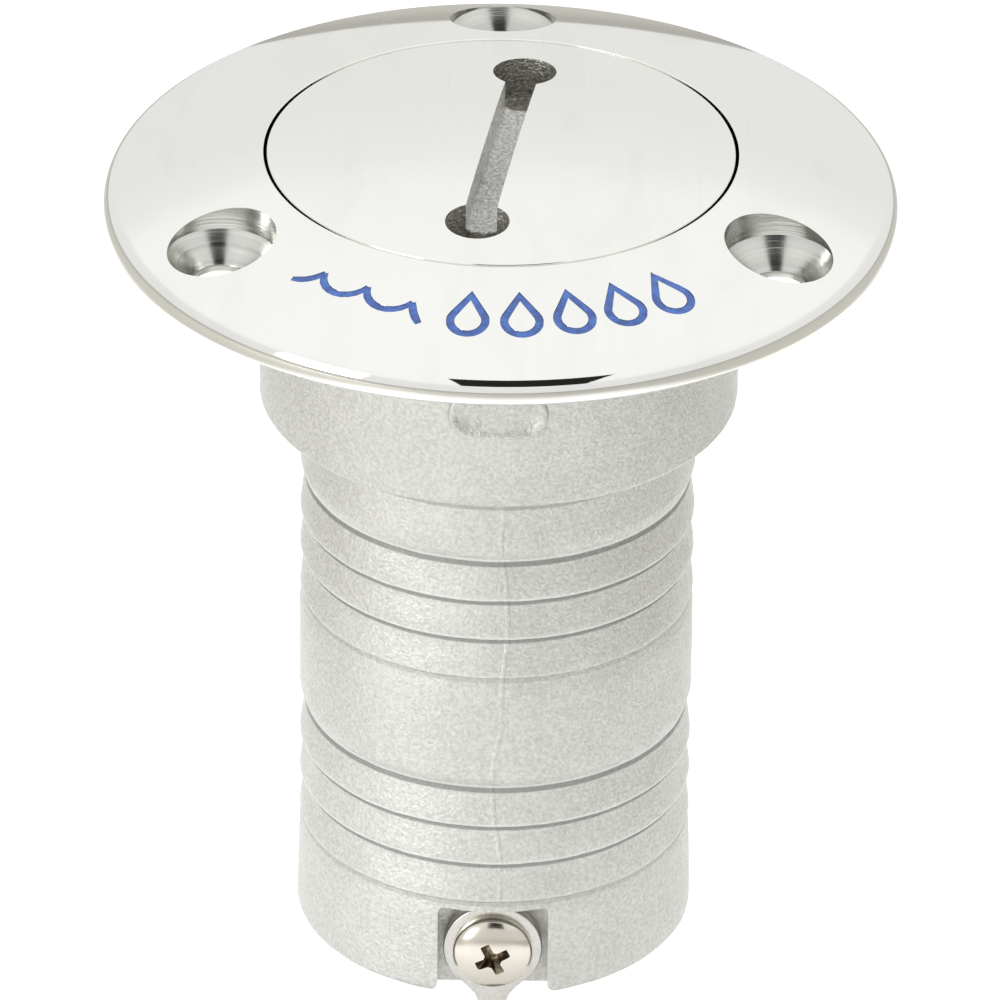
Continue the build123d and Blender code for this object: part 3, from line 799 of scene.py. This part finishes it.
# ------------------------------------------------------------------ the cap
def screw_cap():
    face = [(r, cap_crown(r)) for r in (0.0, 1.2, 2.6, 4.2, 6, 8, 10, 12, 14, 16, 18, 20, 21.4)]
    outline = [*face, (CAP_R, cap_crown(CAP_R), 0.16), (CAP_R, HEAD_UNDERSIDE, 0.15),
               (GROOVE_OUT, HEAD_UNDERSIDE, 0.1), (GROOVE_OUT, GROOVE_ROOF, 0.1), (GROOVE_IN, GROOVE_ROOF, 0.1),
               (GROOVE_IN, HEAD_UNDERSIDE, 0.1), (18.1, HEAD_UNDERSIDE, 0.1), (18.1, 0.2186, 0.15),
               (THREAD_ROOT, 0.2186, 0.1), (THREAD_ROOT, SKIRT_FOOT, 0.35), (SKIRT_R, SKIRT_FOOT, 0.3),
               (SKIRT_R, SKIRT_ROOF, 0.8), (4.6, SKIRT_ROOF, 0.5), (4.6, BOSS_FOOT, 0.3), (0, BOSS_FOOT)]
    cap = held(turn(outline, steps=224), "screw_cap")
    well = [(0, KEY_FLOOR), (KEY_R, KEY_FLOOR, 0.25), (KEY_R, 9), (0, 9)]
    along_key = Matrix.Rotation(KEY_TURN, 4, "Z")
    wells = [placed(turn(well, steps=72), along_key, shift(0, side * KEY_OFFSET, 0)) for side in (1, -1)]
    slot = block((3.0, 2 * KEY_OFFSET, 4.0), (0, 0, SLOT_FLOOR + 2))
    floor_edges = [e for e in slot.edges if max(v.co.z for v in e.verts) < SLOT_FLOOR + 0.1]
    round_edges(slot, [e for e in floor_edges if abs(e.verts[0].co.y - e.verts[1].co.y) > 5], 0.45, 3)
    placed(slot, along_key)
    machined(cap, [*wells, slot])
    add_thread(cap, screw_thread(THREAD_ROOT, THREAD_CREST, THREAD_START, 0.15))
    across = Matrix.Rotation(-KEY_TURN, 4, "Z")

    def zone(centre, normal):
        radius = hypot(centre.x, centre.y)
        local = across @ centre
        from_well = min(hypot(local.x, local.y - side * KEY_OFFSET) for side in (1, -1))
        if radius < 19 and 2 < centre.z < cap_crown(radius) - 0.04:
            return BORED if from_well < KEY_R + 0.02 else ROUGH_CAST
        return POLISHED_CAP if centre.z > 3.2 or radius > 21.5 else THREAD_METAL

    finishes = [POLISHED_CAP, BORED, ROUGH_CAST, THREAD_METAL]
    finished(cap, "cap", None, "polished_stainless", "cap", crease=32, zones=(finishes, zone),
             balls=[(CAP_CROWN_CENTRE, CAP_CROWN_R)])


def slot_tongue():
    """The ragged end of the cast slot floor, where the drilled hole broke through it."""
    bm = bmesh.new()
    bmesh.ops.create_grid(bm, x_segments=12, y_segments=12, size=1)
    for vert in bm.verts:
        across, run = vert.co.x, (vert.co.y + 1) / 2
        end = -12.4 - 0.13 * sin(across * 7.3) - 0.1 * cos(across * 3.1)
        vert.co.x = across * 1.44 * (1 - 0.04 * run)
        vert.co.y = -11.9 + (end + 11.9) * (1 - run)
        vert.co.z = SLOT_FLOOR + 0.02 - 0.15 * (1 - run) ** 6 + 0.04 * noise.noise(vert.co * 2.1)
    thickened(bm, (0, 0, -1.6))
    bmesh.ops.recalc_face_normals(bm, faces=bm.faces)
    placed(bm, Matrix.Rotation(KEY_TURN, 4, "Z"))
    finished(held(bm, "slot_tongue"), "cap", None, "polished_stainless", crease=50,
             zones=([ROUGH_CAST, BORED], lambda centre, normal: ROUGH_CAST if normal.z > 0.3 else BORED))


def cap_seal():
    low, high = SEAT_Z + 0.02, SEAT_Z + 1.69
    ring = turn([(19.22, low, 0.55), (21.18, low, 0.55), (21.18, high, 0.55), (19.22, high, 0.55)], steps=160)
    finished(held(ring, "cap_seal"), "cap", RUBBER, "seal_rubber", "cap_o_ring", crease=70)


screw_cap()
slot_tongue()
cap_seal()


# ------------------------------------------------------------------ screws, washers, eyelets
def pan_screw(name, shank, shoulder=0.0, turned=0.0):
    """A pan head screw, head upwards, its head's underside at zero, with a cross recess."""
    dome = [(HEAD_R * sin(a), HEAD_SIDE + HEAD_DOME * cos(a)) for a in (radians(d) for d in range(0, 86, 6))]
    stem = [(2.6, 0), (2.6, -shoulder), (2.0, -shoulder)] if shoulder else [(2.0, 0)]
    tip = -shoulder - shank
    outline = [*dome, (HEAD_R, 0, 0.15), *stem, (2.0, tip + 0.5), (1.5, tip), (0, tip)]
    screw = held(turn(outline, steps=72), name)
    tools = []
    for angle in (0, 90):
        wing = block((4.3, 1.02, 1.9), (0, 0, 1.65))
        for vert in wing.verts:
            if vert.co.z < 1.5:
                vert.co.x *= 0.36
                vert.co.y *= 0.66
        upright = [e for e in wing.edges if abs(e.verts[0].co.z - e.verts[1].co.z) > 1]
        round_edges(wing, upright, 0.12, 2)
        tools.append(placed(wing, swing(angle + turned, "Z")))
    tools.append(placed(turn([(0, 0.55), (0.45, 0.55), (0.98, 2.6), (0, 2.6)], steps=28), swing(turned, "Z")))
    machined(screw, tools)
    return screw


def moved(piece, *steps):
    matrix = Matrix.Identity(4)
    for step in steps:
        matrix = matrix @ step
    piece.data.transform(matrix)
    piece.data.update()
    return piece


def recess_zone(foot, axis):
    """Painted shade: a darker colour inside a pan head's cross recess. foot is the middle of the head's underside.
    """
    def zone(centre, normal):
        out = (centre - foot).dot(axis)
        off = ((centre - foot) - axis * out).length
        pocket = off < 2.3 and 0.5 < out < HEAD_SIDE + HEAD_DOME * cos(asin(off / HEAD_R)) - 0.04
        return POCKET_PAINTED_SHADE if pocket else SCREW_METAL
    return [SCREW_METAL, POCKET_PAINTED_SHADE], zone


def washer(outer, hole, thickness):
    return turn([(hole, 0, 0.06), (outer, 0, 0.12), (outer, thickness, 0.12), (hole, thickness, 0.06)], steps=96)


def eyelet(hole):
    """A stamped ring with a flared tail along -Y, its lower face at zero."""
    bm = bmesh.new()
    arc = [radians(-90 + 35 + 290 * k / 58) for k in range(59)]
    rim = [(EYELET_R * cos(a), EYELET_R * sin(a)) for a in arc]
    tail = [(-1.25, -5.75), (-1.25, -8.2), (1.25, -8.2), (1.25, -5.75)]
    verts = [bm.verts.new((x, y, 0)) for x, y in rim + tail]
    bm.faces.new(verts)
    for vert in (verts[-4], verts[-1], verts[0], verts[58]):
        round_corner(bm, vert, 0.9, 5)
    thickened(bm, (0, 0, EYELET_THICK))
    bmesh.ops.recalc_face_normals(bm, faces=bm.faces)
    edge = [e for e in bm.edges if e.calc_face_angle(0) > 1.0]
    round_edges(bm, edge, 0.14, 3)
    ring = held(bm, "eyelet")
    return machined(ring, [turn([(0, -1), (hole, -1), (hole, 2), (0, 2)], steps=64)])


def clasp():
    """The rolled barrel that grips the chain's last bead, its mouth at zero, with the slit left by the rolling."""
    bm = bmesh.new()
    corners = [(2.1, 0, 0.12), (2.1, 4.2, 0.5), (0.7, 4.2, 0.12), (0.7, 3.85), (1.72, 3.75, 0.3), (1.72, 0, 0.12)]
    verts = [bm.verts.new((r, 0, z)) for r, z, *_ in corners]
    for pair in zip(verts, verts[1:] + verts[:1]):
        bm.edges.new(pair)
    for vert, corner in zip(verts, corners):
        if len(corner) > 2:
            round_corner(bm, vert, corner[2], 3)
    bmesh.ops.spin(bm, geom=bm.verts[:] + bm.edges[:], cent=(0, 0, 0), axis=(0, 0, 1), angle=radians(346), steps=52)
    slit = [e for e in bm.edges if e.is_boundary and all(abs(v.co.y) < 1e-4 for v in e.verts)]
    bmesh.ops.contextual_create(bm, geom=slit)
    bmesh.ops.holes_fill(bm, edges=[e for e in bm.edges if e.is_boundary], sides=0)
    bmesh.ops.recalc_face_normals(bm, faces=bm.faces)
    return bm


def eyelet_with_clasp(name, hole, ring_steps, clasp_steps, body, node):
    ring = moved(eyelet(hole), *ring_steps)
    whole = placed(clasp(), *clasp_steps)
    whole.from_mesh(ring.data)
    bpy.data.objects.remove(ring)
    finished(held(whole, name), body, SHEET, "sheet_stainless", node, crease=40)


to_lug = (shift(0, 0, LUG_Z), swing(90, "X"))
swivel_foot = BOSS_FOOT - SWIVEL_GAP
lug_screw = moved(pan_screw("lug_pan_screw", 5.5, turned=27), *to_lug, shift(0, 0, -LUG_RING_Y))
finished(lug_screw, "body", None, "screw_stainless", "lug_screw", crease=30,
         zones=recess_zone(Vector((0, LUG_RING_Y, LUG_Z)), Vector((0, -1, 0))))
lug_washer = placed(washer(WASHER_R, 2.2, WASHER_THICK), *to_lug, shift(0, 0, -NOTCH_BACK))
finished(held(lug_washer, "lug_spring_washer"), "body", SHEET, "sheet_stainless", "lug_washer", crease=40)
eyelet_with_clasp("lug_eyelet", 2.2, (*to_lug, shift(0, 0, -LUG_WASHER_Y)),
                  (Matrix.Translation(LUG_CLASP), swing(200, "Z")), "body", "lug_chain_eyelet")

swivel = moved(pan_screw("swivel_pan_screw", 4.2, shoulder=SWIVEL_GAP), shift(0, 0, swivel_foot), swing(180, "X"))
finished(swivel, "cap", None, "screw_stainless", "cap_chain_screw", crease=30,
         zones=recess_zone(Vector((0, 0, swivel_foot)), Vector((0, 0, -1))))
swivel_washer = placed(washer(WASHER_R, 2.65, WASHER_THICK), shift(0, 0, swivel_foot))
finished(held(swivel_washer, "swivel_washer"), "cap", SHEET, "sheet_stainless", "cap_chain_washer", crease=40)
eyelet_with_clasp("swivel_eyelet", 2.95, (shift(0, 0, SWIVEL_RING_Z), swing(180, "Z")),
                  (Matrix.Translation(SWIVEL_CLASP), swing(20, "Z")), "chain_swivel", "cap_chain_eyelet")


# ------------------------------------------------------------------ studio
def sheet(name, half, segments, place, material):
    """A flat card for the stage, in metres."""
    bm = bmesh.new()
    bmesh.ops.create_grid(bm, x_segments=segments, y_segments=segments, size=half)
    made = held(placed(bm, place), name)
    made.data.materials.append(material)
    return made


def studio():
    material, bench, use, feed, bump = finish("floor_card", metallic=0.0, Roughness=0.9)
    axes = bench.node("SeparateXYZ", in_Vector=bench.place()).outputs
    # Painted shade: the floor is painted dark beige everywhere except a pale patch under the fill, so the metal
    # reflects a darker floor.
    aside = bench.ramp(bench.math("ABSOLUTE", axes["X"]), 0.09, 0.2, 1.0, 0.0)
    behind = bench.ramp(axes["Y"], 0.28, 0.5, 1.0, 0.0)
    clear_of_painted_shade = bench.math("MULTIPLY", bench.math("MULTIPLY", bench.ramp(axes["Y"], -0.34, -0.12), behind), aside)
    feed(bench.tint(clear_of_painted_shade, (0.43, 0.415, 0.38, 1), (0.96, 0.96, 0.958, 1)), "Base Color")
    floor = sheet("floor", 9, 8, shift(0, 5, -0.104), material)

    world = bpy.data.worlds.new("studio")
    scene.world = world
    world.use_nodes = True
    bench = Bench(world.node_tree)
    up = bench.node("SeparateXYZ", in_Vector=bench.out("TexCoord", "Generated")).outputs["Z"]
    ramp = bench.node("ValToRGB", in_Fac=up)
    stops = [(0.0, 0.82), (0.42, 0.835), (0.50, 0.88), (0.545, 0.95), (0.60, 0.97), (0.85, 1.0)]
    while len(ramp.color_ramp.elements) < len(stops):
        ramp.color_ramp.elements.new(0.5)
    for element, (place, level) in zip(ramp.color_ramp.elements, stops):
        element.position = place
        element.color = (level, level, level * 0.99, 1)
    world.node_tree.links.new(ramp.outputs["Color"], world.node_tree.nodes["Background"].inputs["Color"])
    world.node_tree.nodes["Background"].inputs["Strength"].default_value = 1.0

    def softbox(name, place, size, power):
        lamp = bpy.data.objects.new(name, bpy.data.lights.new(name, "AREA"))
        lamp.data.shape = "RECTANGLE"
        lamp.data.size, lamp.data.size_y = size
        lamp.data.energy = power
        lamp.location = place
        lamp.rotation_euler = (Vector((0, 0, -0.03)) - Vector(place)).to_track_quat("-Z", "Y").to_euler()
        scene.collection.objects.link(lamp)
        return lamp

    softbox("left_key", (-0.47, -0.42, 0.15), (0.26, 0.26), 1.45)
    softbox("left_high", (-1.25, -1.0, 0.55), (0.7, 0.9), 3.0)
    softbox("backdrop_wash", (0.0, 0.4, 1.6), (1.2, 1.0), 15).visible_glossy = False

    material, bench, use, feed, bump = finish("black_cloth", metallic=0.0, Roughness=1.0)
    weave = bench.noise(bench.place(), 400, 2)
    feed(bench.tint(weave, (0.012, 0.012, 0.012, 1), (0.02, 0.02, 0.021, 1)), "Base Color")
    facing = shift(0.2, -1.03, 1.23) @ swing(40, "X") @ Matrix.Diagonal((0.95, 1.1, 1, 1))
    card = sheet("camera_flag", 0.5, 2, facing, material)


studio()
